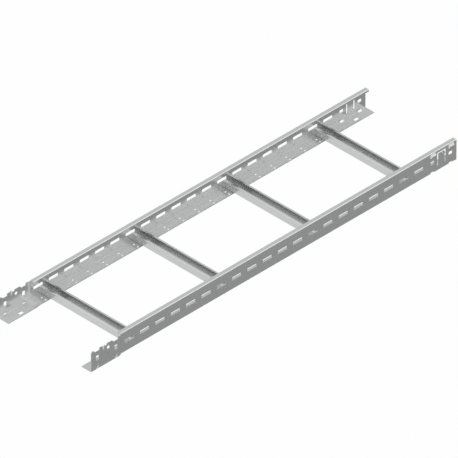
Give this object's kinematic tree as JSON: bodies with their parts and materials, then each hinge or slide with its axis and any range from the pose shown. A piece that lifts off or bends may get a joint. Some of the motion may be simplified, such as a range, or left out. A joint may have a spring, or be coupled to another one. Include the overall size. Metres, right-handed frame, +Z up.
{
  "type": "cable ladder section",
  "caption": "Cable ladder section: two perforated folded steel side rails with a stepped coupling end, joined by C-section rungs.",
  "frame": {"origin": "midway along and across the ladder, on the underside of the lowered coupling end", "axes": "+X along the rails from the coupling end to the plain end, +Y across to the left rail, +Z up"},
  "size_m": [1.2, 0.309, 0.0595],
  "materials": {
    "rail_steel": "smooth zinc coated sheet",
    "rung_steel": "smooth zinc coated sheet"
  },
  "bodies": {
    "root": {"side_rail_right": "rail_steel", "side_rail_left": "rail_steel", "rung_1": "rung_steel", "rung_2": "rung_steel", "rung_3": "rung_steel", "rung_4": "rung_steel"}
  },
  "joints": []
}
